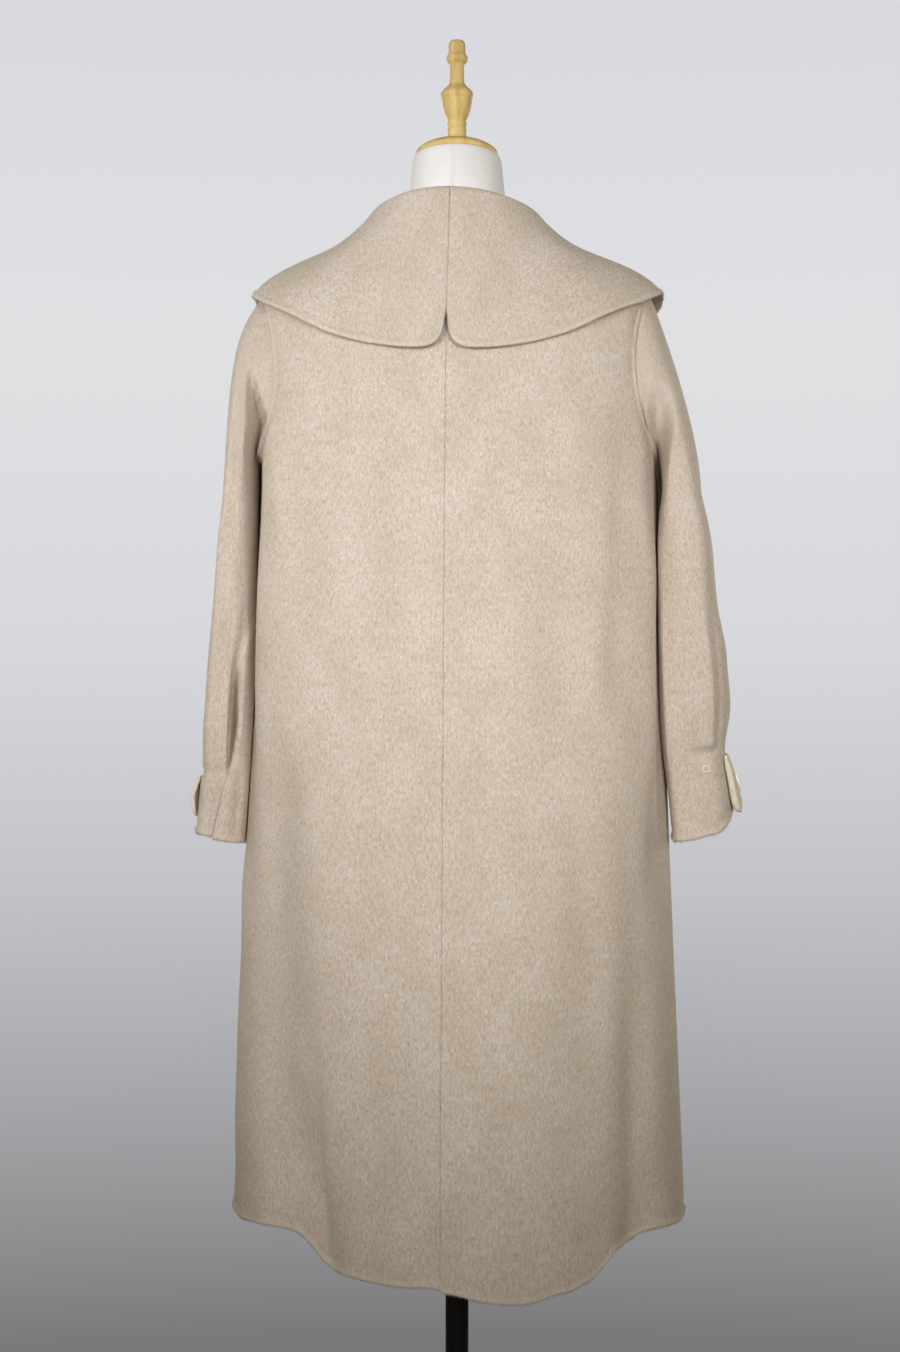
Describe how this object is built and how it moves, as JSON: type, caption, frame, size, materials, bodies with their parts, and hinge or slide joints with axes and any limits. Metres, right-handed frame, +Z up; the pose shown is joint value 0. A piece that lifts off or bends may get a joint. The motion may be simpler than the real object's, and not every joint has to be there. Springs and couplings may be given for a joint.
{
  "type": "long coat on a dress form",
  "caption": "Long wool coat with a wide turn-down collar, slit at the back, and buttoned cuff tabs, worn by a limbless dress form with a wooden finial on a round base.",
  "frame": {"origin": "centre of the round base's underside, on the floor", "axes": "+Z up along the pole; the coat's back faces +Y and its front -Y; the wearer's left is +X"},
  "size_m": [0.6254, 0.388, 1.636],
  "materials": {
    "wool": "brushed double-faced wool",
    "button": "glossy cream",
    "jersey": "smooth white jersey",
    "wood": "varnished",
    "black_metal": "satin black"
  },
  "bodies": {
    "root": {"back_left": "wool", "back_right": "wool", "front_left": "wool", "front_right": "wool", "sleeve_left_top": "wool", "sleeve_left_under": "wool", "sleeve_right_top": "wool", "sleeve_right_under": "wool", "collar_left": "wool", "collar_right": "wool", "cuff_tab_left": "wool", "cuff_tab_right": "wool", "cuff_button_left": "button", "cuff_button_right": "button", "form_torso": "jersey", "neck_cap": "wood", "finial": "wood", "pole": "black_metal", "base": "black_metal"}
  },
  "joints": []
}
